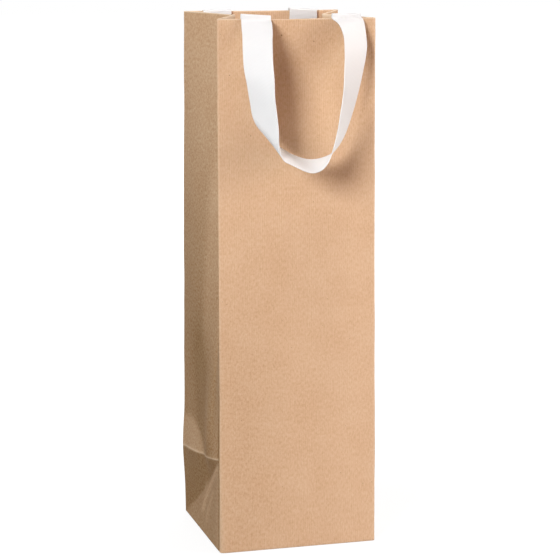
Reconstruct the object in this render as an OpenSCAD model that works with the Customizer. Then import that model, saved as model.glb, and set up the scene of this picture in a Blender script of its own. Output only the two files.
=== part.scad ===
// Bottle carrier: a tall kraft paper gift bag with flat woven ribbon handles.
// Origin at the centre of the base, on the surface it stands on. Front panel faces -Y, +Z is up.

/* [Bag] */
// Width of the front and back panels
bag_w = 110; // [95:1:140]
// Depth of the bag at its base, which is also the width of each gusset's paper
bag_d = 105; // [90:1:120]
// Height from the base to the rim
bag_h = 360; // [320:5:400]
// How far the front panel leans in at the rim
front_lean = 3; // [1:0.5:6]
// How far the back panel leans in at the rim
back_lean = 8.5; // [4:0.5:12]
// Thickness of the kraft paper
paper_t = 0.25; // [0.2:0.05:0.35]

/* [Gussets] */
// Height of the base crease above half the bag's depth, at mid-depth
crease_rise = 5; // [0:0.5:10]
// How much the crease climbs from mid-depth to the front corner, and falls to the back one
crease_slant = 7.5; // [0:0.5:12]
// Distance of the soft fold's foot from the front corner, along the crease
fold_foot = 10; // [6:1:40]
// Outward bow of the gusset's back leaf at mid-height
leaf_bow = 2.5; // [0:0.5:4]

/* [Top hem] */
// Height of the paper turned in at the rim
hem_h = 40; // [30:1:50]
// Thickness of the reinforcing card inside the hem
card_t = 0.8; // [0.5:0.1:1.2]
// Distance of the card's ends from the bag's corners
card_margin = 3; // [2:0.5:8]
// Distance of the card's lower edge above the hem's lower edge
card_lift = 2; // [1:0.5:5]
// Distance of the card's upper edge below the fold of the rim
card_gap = 0.6; // [0.2:0.1:2]

/* [Base] */
// Thickness of the loose base board
board_t = 1.5; // [1:0.1:2]
// Clearance of the base board to the walls
board_gap = 0.5; // [0.3:0.1:1.5]
// Reach of the two side flaps of the block bottom
side_flap = 38; // [25:1:45]
// Overlap of the front and back flaps where they are glued
flap_overlap = 22; // [12:1:35]
// Width of the glued strip that closes the sheet at the back right corner
seam_w = 15; // [10:1:20]

/* [Ribbon] */
// Width of the woven ribbon
ribbon_w = 22; // [18:1:24]
// Thickness of the woven ribbon
ribbon_t = 0.5; // [0.4:0.05:0.6]
// Distance between the middles of a handle's two arms
arm_spacing = 62; // [58:1:66]
// Drop of the handle's grip below the rim while it hangs
handle_drop = 96; // [80:1:115]
// Sideways place of the front handle
front_shift = 2; // [-3:0.5:3]
// Sideways place of the rear handle
rear_shift = -1; // [-3:0.5:3]
// Length of each ribbon end that is glued inside the bag
tail_l = 44; // [30:1:60]
// Height of the ribbon's crest above the rim, at the middle of its thickness
crest_rise = 2.3; // [2:0.1:3.5]
// Gap between the hanging ribbon and the panel just below the rim
ribbon_gap = 0.6; // [0.5:0.1:1]

/* [Handle patch] */
// Height of the paper patch glued over the ribbon ends
patch_h = 34; // [25:1:40]
// Distance of the patch below the rim
patch_drop = 14; // [10:1:20]
// How far the patch reaches past the ribbons on each side
patch_side = 3; // [1:0.5:5]

/* [Hidden] */

kraft = "#D9B28F";
kraft_edge = "#E6C9A8";
grey_card = "#B9AE9F";
white_weave = "#F4F4F2";

// Gap between glued flaps and the walls that they turn from
flap_gap = 0.05;
// Gap between a glued ribbon end and the start of the moving loop
hinge_gap = 0.6;
// Turns of the ribbon between two of its stations
loop_steps = 3;
crest_steps = 3;
least_slant = 0.85;
leaf_rows = 9;
hem_rows = 3;
leaf_columns = 6;

crease_mid_h = bag_d/2 + crease_rise;
crease_front_h = crease_mid_h + crease_slant;
crease_back_h = crease_mid_h - crease_slant;

// Outer faces of the front and back panels at height z
function front_y(z) = -bag_d/2 + front_lean*z/bag_h;
function back_y(z) = bag_d/2 - back_lean*max(0, z - crease_back_h)/(bag_h - crease_back_h);
function crease_z(y) = crease_mid_h - crease_slant*y/(bag_d/2);

mouth_front_y = front_y(bag_h);
mouth_back_y = back_y(bag_h);
mouth_mid_y = (mouth_front_y + mouth_back_y)/2;
mouth_half = (mouth_back_y - mouth_front_y)/2;
// The gusset's two leaves keep their paper's width, so a narrower mouth folds them further in
mouth_inset = sqrt(pow(bag_d/2, 2) - pow(mouth_half, 2));

// Layers at the rim, counted inwards from the outer face of the panel
rim_t = 2*paper_t + card_t;
tail_y = rim_t;
patch_y = rim_t + ribbon_t;
// Line that the ribbon turns about, seen from the outer face of the panel at the rim
hinge_y = (rim_t - ribbon_gap)/2;
crest_r = (rim_t + ribbon_gap + ribbon_t)/2;

// The fold line of a gusset, from the crease (v = 0) to the mouth (v = 1)
fold_foot_y = front_y(crease_front_h) + fold_foot;
function mix(a, b, v) = a + (b - a)*v;
function fold_point(v) = [
    mouth_inset*v,
    mix(fold_foot_y, mouth_mid_y, v),
    mix(crease_z(fold_foot_y), bag_h, v)
];

// The corner edge that a leaf starts from, just inside the panel: side is -1 front, 1 back
function corner_point(side, v) =
    let (z = mix(side < 0 ? crease_front_h : crease_back_h, bag_h, v))
    [0, side < 0 ? front_y(z) + paper_t : back_y(z) - paper_t, z];

// A point of a leaf, as [inset from the side, y, z]
function leaf_point(side, s, v) =
    let (
        corner = corner_point(side, v),
        fold = fold_point(v),
        bow = side < 0 ? 0 : leaf_bow*sin(180*v)*4*s*(1 - s)
    )
    [mix(corner.x, fold.x, s) - bow, mix(corner.y, fold.y, s), mix(corner.z, fold.z, s)];

// Paper lies along a slanted leaf, so its thickness across the bag is more than the sheet's
function leaf_t(v) = paper_t/cos(atan2(mouth_inset*v, mouth_half));

function leaf_grid(side, levels, layer) = [
    for (v = levels, j = [0:leaf_columns])
        let (p = leaf_point(side, j/leaf_columns, v))
        [-bag_w/2 + p.x + layer*leaf_t(v), p.y, p.z]
];

// Closes two equal grids of points, an outer and an inner one, into a thin solid sheet
module grid_sheet(outer, inner, rows, columns) {
    n = len(outer);
    c = columns + 1;
    skin = [
        for (i = [0:rows - 1], j = [0:columns - 1])
            let (a = i*c + j)
            each [[a, a + c + 1, a + 1], [a, a + c, a + c + 1]]
    ];
    loop = concat(
        [for (j = [0:columns]) j],
        [for (i = [1:rows]) i*c + columns],
        [for (j = [columns - 1:-1:0]) rows*c + j],
        [for (i = [rows - 1:-1:1]) i*c]
    );
    rim = [
        for (k = [0:len(loop) - 1])
            let (a = loop[k], b = loop[(k + 1) % len(loop)])
            each [[a, b, a + n], [b, b + n, a + n]]
    ];
    back = [for (f = skin) [f[2] + n, f[1] + n, f[0] + n]];
    polyhedron(concat(outer, inner), concat(skin, back, rim));
}

// One leaf of the left gusset: side -1 is the front leaf, 1 the back one
module leaf_sheet(side, levels, layer) {
    outer = leaf_grid(side, levels, layer);
    inner = leaf_grid(side, levels, layer + 1);
    if (side > 0) grid_sheet(outer, inner, len(levels) - 1, leaf_columns);
    else grid_sheet(inner, outer, len(levels) - 1, leaf_columns);
}

// Share of the leaf's height at which the turned-in hem starts
hem_v = 1 - hem_h/(bag_h - crease_mid_h);
// The leaf and its hem have the same rows above that height, so that they lie face to face
hem_levels = [for (i = [0:hem_rows]) mix(hem_v, 1, i/hem_rows)];
leaf_levels = concat([for (i = [0:leaf_rows - 1]) hem_v*i/leaf_rows], hem_levels);

module gusset_foot() {
    outline = [
        [front_y(0) + paper_t, 0],
        [back_y(0) - paper_t, 0],
        [back_y(crease_back_h) - paper_t, crease_back_h],
        [fold_foot_y, crease_z(fold_foot_y)],
        [front_y(crease_front_h) + paper_t, crease_front_h]
    ];
    color(kraft)
        translate([-bag_w/2, 0, 0])
            rotate([90, 0, 90])
                linear_extrude(paper_t) polygon(outline);
}

// Extrudes an outline of [y, z] points across the bag, between two x places
module across(x0, x1, outline) {
    translate([x0, 0, 0])
        rotate([90, 0, 90])
            linear_extrude(x1 - x0) polygon(outline);
}

// Points at height z that lie a distance behind the outer face of the front or back panel
function in_front(z, depth) = [front_y(z) + depth, z];
function in_back(z, depth) = [back_y(z) - depth, z];

module front_panel() {
    outline = [in_front(0, 0), in_front(bag_h, 0), in_front(bag_h, paper_t), in_front(0, paper_t)];
    color(kraft) across(-bag_w/2, bag_w/2, outline);
}

module back_panel() {
    heights = [0, crease_back_h, bag_h];
    outline = concat(
        [for (z = heights) in_back(z, 0)],
        [for (i = [2:-1:0]) in_back(heights[i], paper_t)]
    );
    color(kraft) across(-bag_w/2, bag_w/2, outline);
}

module left_gusset_front_leaf() { color(kraft) leaf_sheet(-1, leaf_levels, 0); }
module left_gusset_back_leaf() { color(kraft) leaf_sheet(1, leaf_levels, 0); }
module left_gusset_foot() { gusset_foot(); }
module right_gusset_front_leaf() { mirror([1, 0, 0]) left_gusset_front_leaf(); }
module right_gusset_back_leaf() { mirror([1, 0, 0]) left_gusset_back_leaf(); }
module right_gusset_foot() { mirror([1, 0, 0]) gusset_foot(); }

module left_gusset_front_hem() { color(kraft_edge) leaf_sheet(-1, hem_levels, 1); }
module left_gusset_back_hem() { color(kraft_edge) leaf_sheet(1, hem_levels, 1); }
module right_gusset_front_hem() { mirror([1, 0, 0]) left_gusset_front_hem(); }
module right_gusset_back_hem() { mirror([1, 0, 0]) left_gusset_back_hem(); }

card_x = bag_w/2 - card_margin;
rim_fold_z = bag_h - paper_t;
card_top = rim_fold_z - card_gap;
card_low = bag_h - hem_h + card_lift;

// The hem is a hook of paper: a short cap over the card and a leg behind it
module front_hem() {
    outline = [
        in_front(bag_h, paper_t), in_front(bag_h, rim_t),
        in_front(bag_h - hem_h, rim_t), in_front(bag_h - hem_h, rim_t - paper_t),
        in_front(rim_fold_z, rim_t - paper_t), in_front(rim_fold_z, paper_t)
    ];
    color(kraft_edge) across(-card_x, card_x, outline);
}

module back_hem() {
    outline = [
        in_back(bag_h, paper_t), in_back(bag_h, rim_t),
        in_back(bag_h - hem_h, rim_t), in_back(bag_h - hem_h, rim_t - paper_t),
        in_back(rim_fold_z, rim_t - paper_t), in_back(rim_fold_z, paper_t)
    ];
    color(kraft_edge) across(-card_x, card_x, outline);
}

module front_top_card() {
    outline = [
        in_front(card_low, paper_t), in_front(card_top, paper_t),
        in_front(card_top, paper_t + card_t), in_front(card_low, paper_t + card_t)
    ];
    color(grey_card) across(-card_x, card_x, outline);
}

module back_top_card() {
    outline = [
        in_back(card_low, paper_t), in_back(card_top, paper_t),
        in_back(card_top, paper_t + card_t), in_back(card_low, paper_t + card_t)
    ];
    color(grey_card) across(-card_x, card_x, outline);
}

inside_x = bag_w/2 - paper_t;
inside_y = bag_d/2 - paper_t;

// The block bottom: front flap outside, back flap glued on it, then the side flaps
module front_bottom_flap() {
    color(kraft)
        translate([-inside_x + flap_gap, -inside_y + flap_gap, 0])
            cube([2*(inside_x - flap_gap), inside_y - flap_gap + flap_overlap/2, paper_t]);
}

module back_bottom_flap() {
    color(kraft)
        translate([-inside_x + flap_gap, -flap_overlap/2, paper_t])
            cube([2*(inside_x - flap_gap), inside_y - flap_gap + flap_overlap/2, paper_t]);
}

module left_bottom_flap() {
    color(kraft)
        translate([-inside_x + flap_gap, -inside_y + flap_gap, 2*paper_t])
            cube([side_flap, 2*(inside_y - flap_gap), paper_t]);
}

module right_bottom_flap() { mirror([1, 0, 0]) left_bottom_flap(); }

board_z = 3*paper_t;

module base_board() {
    board = [2*(inside_x - board_gap), 2*(inside_y - board_gap), board_t];
    color(grey_card)
        translate([-board.x/2, -board.y/2, board_z])
            cube(board);
}

// Glued strip of the sheet on the inside of the back panel
module seam_flap() {
    heights = [board_z + board_t + board_gap, crease_back_h, bag_h - hem_h - board_gap];
    outline = concat(
        [for (z = heights) in_back(z, paper_t)],
        [for (i = [2:-1:0]) in_back(heights[i], 2*paper_t)]
    );
    seam_x = bag_w/2 - 2*paper_t - board_gap;
    color(kraft) across(seam_x - seam_w, seam_x, outline);
}

tail_top = bag_h + crest_rise - hinge_gap;

// Glued end of a ribbon on the inner face of the hem, seen from the handle's own middle
module front_tail(x) {
    outline = [
        in_front(bag_h - tail_l, tail_y), in_front(tail_top, tail_y),
        in_front(tail_top, tail_y + ribbon_t), in_front(bag_h - tail_l, tail_y + ribbon_t)
    ];
    color(white_weave) across(x - ribbon_w/2, x + ribbon_w/2, outline);
}

module rear_tail(x) {
    outline = [
        in_back(bag_h - tail_l, tail_y), in_back(tail_top, tail_y),
        in_back(tail_top, tail_y + ribbon_t), in_back(bag_h - tail_l, tail_y + ribbon_t)
    ];
    color(white_weave) across(x - ribbon_w/2, x + ribbon_w/2, outline);
}

module front_ribbon_end_left() { front_tail(front_shift - arm_spacing/2); }
module front_ribbon_end_right() { front_tail(front_shift + arm_spacing/2); }
module rear_ribbon_end_left() { rear_tail(rear_shift - arm_spacing/2); }
module rear_ribbon_end_right() { rear_tail(rear_shift + arm_spacing/2); }

patch_x = (arm_spacing + ribbon_w)/2 + patch_side;
patch_top = bag_h - patch_drop;

module front_handle_patch() {
    outline = [
        in_front(patch_top - patch_h, patch_y), in_front(patch_top, patch_y),
        in_front(patch_top, patch_y + paper_t), in_front(patch_top - patch_h, patch_y + paper_t)
    ];
    color(kraft) across(front_shift - patch_x, front_shift + patch_x, outline);
}

module rear_handle_patch() {
    outline = [
        in_back(patch_top - patch_h, patch_y), in_back(patch_top, patch_y),
        in_back(patch_top, patch_y + paper_t), in_back(patch_top - patch_h, patch_y + paper_t)
    ];
    color(kraft) across(rear_shift - patch_x, rear_shift + patch_x, outline);
}

// Hanging shape of the ribbon, from the rim on its left to the rim on its right, seen from
// outside. Places are shares: across of half the arm spacing, out of the ribbon's width, and
// drop of the handle's drop.
loop_shares = [
    [-1.00, 0.00, 0.00], [-1.02, 0.17, 0.03], [-1.05, 0.39, 0.085],
    [-1.08, 0.57, 0.15], [-1.11, 0.76, 0.22], [-1.13, 0.95, 0.31],
    [-1.12, 1.08, 0.40], [-1.09, 1.09, 0.50], [-1.05, 1.09, 0.585],
    [-1.02, 1.09, 0.665], [-1.00, 1.10, 0.735], [-0.93, 1.10, 0.80],
    [-0.81, 1.09, 0.85], [-0.67, 1.07, 0.88], [-0.53, 1.06, 0.915],
    [-0.24, 1.13, 0.965], [-0.04, 1.17, 0.98], [0.15, 1.17, 0.97],
    [0.30, 1.16, 0.945], [0.42, 1.13, 0.91], [0.56, 1.12, 0.83],
    [0.67, 1.10, 0.73], [0.78, 1.08, 0.59], [0.87, 1.06, 0.46],
    [0.95, 0.92, 0.34], [1.02, 0.77, 0.24], [1.06, 0.60, 0.165],
    [1.07, 0.41, 0.09], [1.05, 0.20, 0.03], [1.00, 0.00, 0.00]
];
// At the same stations, the twist of the ribbon's width away from the panel, and its dip
// towards the outer edge, in degrees
loop_angles = [
    [0, 0], [14, 0], [30, 2], [39, 5], [43, 7], [46, 8],
    [49, 8], [53, 10], [55, 17], [55, 27], [55, 35], [57, 39],
    [66, 37], [76, 30], [84, 22], [92, 17.5], [99, 16], [104, 12.5],
    [108, 8], [112, 3], [120, 4], [125, 1], [130, 1], [134.5, 2],
    [141, 3], [145, 3], [148, 4], [151, 4], [163, 3], [180, 0]
];

// Place and turn of one station, in the handle's frame: x from its middle, y from the panel's
// outer face at the rim, z from the rim. lean is the panel's slope.
function station(i, lean) =
    let (
        s = loop_shares[i],
        drop = s[2]*handle_drop,
        out = ribbon_gap + ribbon_t/2 + s[1]*ribbon_w + lean*drop
    )
    [s[0]*arm_spacing/2, -out, -drop, loop_angles[i][0], loop_angles[i][1]];

// Smooth curve through four stations, from b to c
function blend_stations(a, b, c, d, t) =
    0.5*(2*b + (c - a)*t + (2*a - 5*b + 4*c - d)*t*t + (3*b - a - 3*c + d)*t*t*t);

// Stations before the first and after the last lie straight above the rim
function station_at(i, lean) =
    let (last = len(loop_shares) - 1)
    i < 0 ? 2*station(0, 0) - station(1, 0) - [0, ribbon_w*loop_shares[1][1], 0, 0, 0] :
    i > last ? 2*station(last, 0) - station(last - 1, 0) - [0, ribbon_w*loop_shares[last - 1][1], 0, 0, 0] :
    station(i, lean);

function hanging_path(lean) = [
    for (i = [0:len(loop_shares) - 2], k = [0:loop_steps - 1])
        blend_stations(
            station_at(i - 1, lean), station_at(i, lean),
            station_at(i + 1, lean), station_at(i + 2, lean), k/loop_steps
        ),
    station(len(loop_shares) - 1, lean)
];

// The ribbon's turn over the rim, from its crest to the outside, at one arm
function crest_point(x, a, twist) =
    [x, hinge_y - crest_r*sin(a), crest_rise - crest_r*(1 - cos(a)), twist, 0];

function ribbon_path(lean) = concat(
    [for (k = [0:crest_steps]) crest_point(-arm_spacing/2, 90*k/crest_steps, 0)],
    hanging_path(lean),
    [for (k = [crest_steps:-1:0]) crest_point(arm_spacing/2, 90*k/crest_steps, 180)]
);

function unit(v) = v/norm(v);
function place(p) = [p[0], p[1], p[2]];
function width_of(p) =
    let (twist = p[3], dip = p[4])
    [cos(twist)*cos(dip), -sin(twist)*cos(dip), -sin(dip)];

// Four corners of the ribbon's section at each point of its path. Where a fold slants across
// the ribbon the section is longer than the ribbon is wide, up to a limit.
function ribbon_sections(path) = [
    for (i = [0:len(path) - 1])
        let (
            run = unit(place(path[min(i + 1, len(path) - 1)]) - place(path[max(i - 1, 0)])),
            across = width_of(path[i]),
            face = unit(cross(run, across)),
            slant = max(norm(cross(run, across)), least_slant),
            half_w = across*ribbon_w/2/slant,
            half_t = face*ribbon_t/2,
            c = place(path[i])
        )
        [c + half_w + half_t, c - half_w + half_t, c - half_w - half_t, c + half_w - half_t]
];

module ribbon_strip(path) {
    sections = ribbon_sections(path);
    n = len(sections);
    points = [for (s = sections) each s];
    walls = [
        for (i = [0:n - 2], k = [0:3])
            let (a = 4*i + k, b = 4*i + (k + 1) % 4)
            // The two broad faces are split along the same diagonal, so that a twist keeps them apart
            each k < 2 ? [[a, b + 4, b], [a, a + 4, b + 4]] : [[a, a + 4, b], [b, a + 4, b + 4]]
    ];
    last = 4*(n - 1);
    caps = [[0, 1, 2], [0, 2, 3], [last, last + 2, last + 1], [last, last + 3, last + 2]];
    polyhedron(points, concat(walls, caps));
}

module front_handle_loop() {
    color(white_weave)
        translate([front_shift, mouth_front_y, bag_h])
            ribbon_strip(ribbon_path(front_lean/bag_h));
}

module rear_handle_loop() {
    color(white_weave)
        translate([rear_shift, mouth_back_y, bag_h])
            rotate([0, 0, 180])
                ribbon_strip(ribbon_path(back_lean/(bag_h - crease_back_h)));
}

front_panel();
back_panel();
left_gusset_front_leaf();
left_gusset_back_leaf();
left_gusset_foot();
right_gusset_front_leaf();
right_gusset_back_leaf();
right_gusset_foot();
front_hem();
back_hem();
left_gusset_front_hem();
left_gusset_back_hem();
right_gusset_front_hem();
right_gusset_back_hem();
front_bottom_flap();
back_bottom_flap();
left_bottom_flap();
right_bottom_flap();
seam_flap();
front_top_card();
back_top_card();
base_board();
front_ribbon_end_left();
front_ribbon_end_right();
rear_ribbon_end_left();
rear_ribbon_end_right();
front_handle_patch();
rear_handle_patch();
front_handle_loop();
rear_handle_loop();
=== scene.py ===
import math

import bmesh
import bpy
import numpy as np
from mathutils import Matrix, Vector, noise


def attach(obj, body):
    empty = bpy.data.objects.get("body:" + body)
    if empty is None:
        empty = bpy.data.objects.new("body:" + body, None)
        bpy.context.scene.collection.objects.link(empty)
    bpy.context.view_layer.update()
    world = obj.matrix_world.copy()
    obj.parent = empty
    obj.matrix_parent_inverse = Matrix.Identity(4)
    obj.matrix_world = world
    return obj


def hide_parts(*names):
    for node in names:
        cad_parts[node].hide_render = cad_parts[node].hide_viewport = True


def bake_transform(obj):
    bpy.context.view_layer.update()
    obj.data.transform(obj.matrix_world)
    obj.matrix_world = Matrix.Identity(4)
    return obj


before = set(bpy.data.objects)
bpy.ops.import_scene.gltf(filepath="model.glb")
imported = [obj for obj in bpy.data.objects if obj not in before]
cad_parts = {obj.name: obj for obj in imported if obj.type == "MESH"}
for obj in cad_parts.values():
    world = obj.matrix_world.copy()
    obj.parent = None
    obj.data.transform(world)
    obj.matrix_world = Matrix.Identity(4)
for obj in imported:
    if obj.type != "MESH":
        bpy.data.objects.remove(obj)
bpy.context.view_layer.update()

mm = 0.001  # lengths below are in millimetres unless they say otherwise

# Small helpers


def direction(azimuth, elevation):
    # from the object's middle outwards; azimuth 0 is straight in front of the front panel
    turn, rise = math.radians(azimuth), math.radians(elevation)
    return Vector((math.sin(turn) * math.cos(rise), -math.cos(turn) * math.cos(rise), math.sin(rise)))


def addObject(name, data):
    obj = bpy.data.objects.new(name, data)
    bpy.context.scene.collection.objects.link(obj)
    return obj


def hexLinear(code):
    parts = [int(code[i : i + 2], 16) / 255 for i in (1, 3, 5)]
    return [p / 12.92 if p <= 0.04045 else ((p + 0.055) / 1.055) ** 2.4 for p in parts] + [1.0]


def newMaterial(name):
    material = bpy.data.materials.new(name)
    material.use_nodes = True
    material.node_tree.nodes.clear()
    return material


def addNode(material, kind, settings=None, links=None):
    node = material.node_tree.nodes.new(kind)
    for name, value in (settings or {}).items():
        if isinstance(name, int) or name in node.inputs:
            node.inputs[name].default_value = value
        else:
            setattr(node, name, value)
    for name, source in (links or {}).items():
        material.node_tree.links.new(source, node.inputs[name])
    return node


def smooth(t):
    t = np.clip(t, 0, 1)
    return t * t * (3 - 2 * t)


def mix(a, b, t):
    return a + (b - a) * t


def bell(t):
    return np.exp(-(t**2))


def gridMesh(name, points, uv, closed=False, values=None):
    # points is rows x columns x 3 in millimetres; closed joins the last column to the first
    rows, columns = points.shape[:2]
    mesh = bpy.data.meshes.new(name)
    last = columns if closed else columns - 1
    faces, corners = [], []
    for i in range(rows - 1):
        for j in range(last):
            k = (j + 1) % columns
            faces.append((i * columns + j, i * columns + k, (i + 1) * columns + k, (i + 1) * columns + j))
            corners.append(((i, j), (i, j + 1), (i + 1, j + 1), (i + 1, j)))
    mesh.from_pydata((points.reshape(-1, 3) * mm).tolist(), [], faces)
    layer = mesh.uv_layers.new(name="flatSheet")
    flat = np.array([uv[i, j] for quad in corners for i, j in quad], float) * mm
    layer.data.foreach_set("uv", flat.ravel().astype(np.float32))
    for key, field in (values or {}).items():
        attribute = mesh.attributes.new(key, "FLOAT", "POINT")
        attribute.data.foreach_set("value", field.ravel().astype(np.float32))
    for polygon in mesh.polygons:
        polygon.use_smooth = True
    return addObject(name, mesh)


def thicken(obj, thickness, offset):
    solid = obj.modifiers.new("paperThickness", "SOLIDIFY")
    solid.thickness, solid.offset = thickness * mm, offset
    solid.use_even_offset = False
    bpy.context.view_layer.update()
    made = bpy.data.meshes.new_from_object(obj.evaluated_get(bpy.context.evaluated_depsgraph_get()))
    obj.modifiers.clear()
    obj.data = made


def noiseField(x, y, z, scale, seed):
    # smooth fixed noise over arrays of places in millimetres
    flat = np.stack([v.ravel() for v in (x, y, z)], 1) / scale + seed * 17.3
    return np.array([noise.fractal(Vector(p), 0.6, 2.1, 2) for p in flat]).reshape(x.shape)


# Camera

camera = {
    "lens": 135.0,  # a long lens on a full-frame sensor
    "sensor": 36.0,
    "azimuth": -15.57,
    "elevation": 10.65,
    "distance": 1456.5,
    "moveRight": 1.5,
    "moveUp": -3.15,
    "aimHeight": 180.0,
}


def placeCamera(values):
    back, turn = direction(values["azimuth"], values["elevation"]), math.radians(values["azimuth"])
    right = Vector((math.cos(turn), math.sin(turn), 0))
    up = back.cross(right)
    data = bpy.data.cameras.new("studioCamera")
    data.lens, data.sensor_width = values["lens"], values["sensor"]
    data.clip_end = 20  # metres, past the floor's far edge
    obj = addObject("studioCamera", data)
    aim = Vector((0, 0, values["aimHeight"]))
    place = aim + back * values["distance"] + right * values["moveRight"] + up * values["moveUp"]
    obj.location = place * mm
    obj.rotation_euler = back.to_track_quat("Z", "Y").to_euler()
    bpy.context.scene.camera = obj


placeCamera(camera)
print("camera placed")

# Materials

kraftPaper = {
    "colour": "#DAB491",
    "darker": "#C59B73",
    "lighter": "#E6C8A7",
    "speck": "#8A6238",
    "paleWearAndHighlight": "#EFD8BC",
    "shadeTone": "#A79B83",  # the colour that painted shade multiplies the paper by
    # single bark specks in the front panel: place across, place up, radius
    "barkSpecks": [(45.0, 349.5, 0.75), (67.5, 345.0, 0.5), (9.0, 323.5, 0.5), (23.3, 283.7, 0.5)],
    "ribPitch": 1.5,  # machine-glazed kraft is ribbed at about this pitch
    "ribHeight": 0.035,
    "wanderSize": 9.0,  # over which the ribs stray a little from straight lines
    "rubbedBelow": 130.0,  # the ribs are clearest near the rim, and rubbed flatter lower down
    "clearAbove": 290.0,
    "fibreSize": 1.1,
    "cloudSize": 26.0,
    "patchSize": 1.9,  # the paper's fibres stand up in patches of about this size; the mottle shows most where shade is painted deepest
    "speckSize": 3.2,
    # share of the tone between darker and lighter that each of them takes
    "ribTone": 0.07,
    "fibreTone": 0.26,
    "cloudTone": 0.10,
    "patchTone": 0.95,
}


def makeKraftPaper(values):
    # Ribbed kraft paper, made on a wire and left uncoated: matte, warm brown, with fine upright lines
    material = newMaterial("ribbedKraftPaper")
    sheet = addNode(material, "ShaderNodeUVMap", {"uv_map": "flatSheet"})
    split = addNode(material, "ShaderNodeSeparateXYZ", links={0: sheet.outputs[0]})
    wander = addNode(
        material, "ShaderNodeTexNoise", {"Scale": 1 / (values["wanderSize"] * mm), "Detail": 1.0},
        {"Vector": sheet.outputs[0]},
    )
    shift = addNode(material, "ShaderNodeMath", {"operation": "MULTIPLY", 1: 0.9}, {0: wander.outputs[0]})
    angle = addNode(
        material, "ShaderNodeMath", {"operation": "MULTIPLY_ADD", 1: 2 * math.pi / (values["ribPitch"] * mm)},
        {0: split.outputs[0], 2: shift.outputs[0]},
    )
    rib = addNode(material, "ShaderNodeMath", {"operation": "SINE"}, {0: angle.outputs[0]})
    # fibres lie mostly along the machine's direction, so the noise is stretched along the ribs
    stretch = addNode(material, "ShaderNodeMapping", {"Scale": (1.0, 0.45, 1.0)}, {"Vector": sheet.outputs[0]})
    fibre = addNode(
        material, "ShaderNodeTexNoise", {"Scale": 1 / (values["fibreSize"] * mm), "Detail": 4.0, "Roughness": 0.65},
        {"Vector": stretch.outputs[0]},
    )
    cloud = addNode(
        material, "ShaderNodeTexNoise", {"Scale": 1 / (values["cloudSize"] * mm), "Detail": 5.0, "Roughness": 0.62},
        {"Vector": sheet.outputs[0]},
    )
    clear = addNode(
        material, "ShaderNodeMapRange",
        {1: values["rubbedBelow"] * mm, 2: values["clearAbove"] * mm, 3: 0.5, 4: 1.0}, {0: split.outputs[1]},
    )
    ribLine = addNode(
        material, "ShaderNodeMath", {"operation": "MULTIPLY"}, {0: rib.outputs[0], 1: clear.outputs[0]}
    )
    # painted shade and highlight: each rib's groove is a little darker and its crest a little lighter
    ribTone = addNode(
        material, "ShaderNodeMapRange", {1: -1.0, 2: 1.0, 3: 0.5 - values["ribTone"], 4: 0.5 + values["ribTone"]},
        {0: ribLine.outputs[0]},
    )
    fibreTone = addNode(
        material, "ShaderNodeMapRange", {1: 0.3, 2: 0.7, 3: -values["fibreTone"], 4: values["fibreTone"]},
        {0: fibre.outputs[0]},
    )
    cloudTone = addNode(
        material, "ShaderNodeMapRange", {1: 0.3, 2: 0.7, 3: -values["cloudTone"], 4: values["cloudTone"]},
        {0: cloud.outputs[0]},
    )
    sumOne = addNode(
        material, "ShaderNodeMath", {"operation": "ADD"}, {0: ribTone.outputs[0], 1: fibreTone.outputs[0]}
    )
    sumTwo = addNode(
        material, "ShaderNodeMath", {"operation": "ADD"}, {0: sumOne.outputs[0], 1: cloudTone.outputs[0]}
    )
    paintedShade = addNode(material, "ShaderNodeAttribute", {"attribute_name": "paintedShade"})
    patches = addNode(
        material, "ShaderNodeTexNoise", {"Scale": 1 / (values["patchSize"] * mm), "Detail": 3.0, "Roughness": 0.7},
        {"Vector": sheet.outputs[0]},
    )
    patchTone = addNode(
        material, "ShaderNodeMapRange", {1: 0.3, 2: 0.7, 3: -values["patchTone"], 4: values["patchTone"]},
        {0: patches.outputs[0]},
    )
    # the mottle is scaled by the painted shade, so it shows most where that is deepest
    sumThree = addNode(
        material, "ShaderNodeMath", {"operation": "MULTIPLY_ADD"},
        {0: patchTone.outputs[0], 1: paintedShade.outputs["Fac"], 2: sumTwo.outputs[0]},
    )
    ramp = addNode(material, "ShaderNodeValToRGB", links={0: sumThree.outputs[0]})
    ramp.color_ramp.elements[0].color = hexLinear(values["darker"])
    ramp.color_ramp.elements[1].color = hexLinear(values["lighter"])
    middle = ramp.color_ramp.elements.new(0.5)
    middle.color = hexLinear(values["colour"])
    # a few dark bark specks, each about half a millimetre
    cells = addNode(
        material, "ShaderNodeTexVoronoi", {"Scale": 1 / (values["speckSize"] * mm), "Randomness": 1.0},
        {"Vector": sheet.outputs[0]},
    )
    near = addNode(
        material, "ShaderNodeMapRange", {1: 0.10, 2: 0.05, 3: 0.0, 4: 1.0}, {0: cells.outputs["Distance"]}
    )
    chance = addNode(material, "ShaderNodeSeparateColor", links={0: cells.outputs["Color"]})
    few = addNode(material, "ShaderNodeMath", {"operation": "GREATER_THAN", 1: 0.93}, {0: chance.outputs[0]})
    speck = addNode(material, "ShaderNodeMath", {"operation": "MULTIPLY"}, {0: near.outputs[0], 1: few.outputs[0]})
    speckShare = addNode(material, "ShaderNodeMath", {"operation": "MULTIPLY", 1: 0.75}, {0: speck.outputs[0]})
    specked = addNode(
        material, "ShaderNodeMix", {"data_type": "RGBA", 7: hexLinear(values["speck"])},
        {0: speckShare.outputs[0], 6: ramp.outputs[0]},
    )
    for across, up, radius in values["barkSpecks"]:
        offset = addNode(
            material, "ShaderNodeVectorMath", {"operation": "DISTANCE", 1: (across * mm, up * mm, 0)},
            {0: sheet.outputs[0]},
        )
        spot = addNode(
            material, "ShaderNodeMapRange", {1: radius * mm, 2: 0.4 * radius * mm, 3: 0.0, 4: 0.8},
            {0: offset.outputs["Value"]},
        )
        specked = addNode(
            material, "ShaderNodeMix", {"data_type": "RGBA", 7: hexLinear(values["speck"])},
            {0: spot.outputs[0], 6: specked.outputs[2]},
        )
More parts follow.
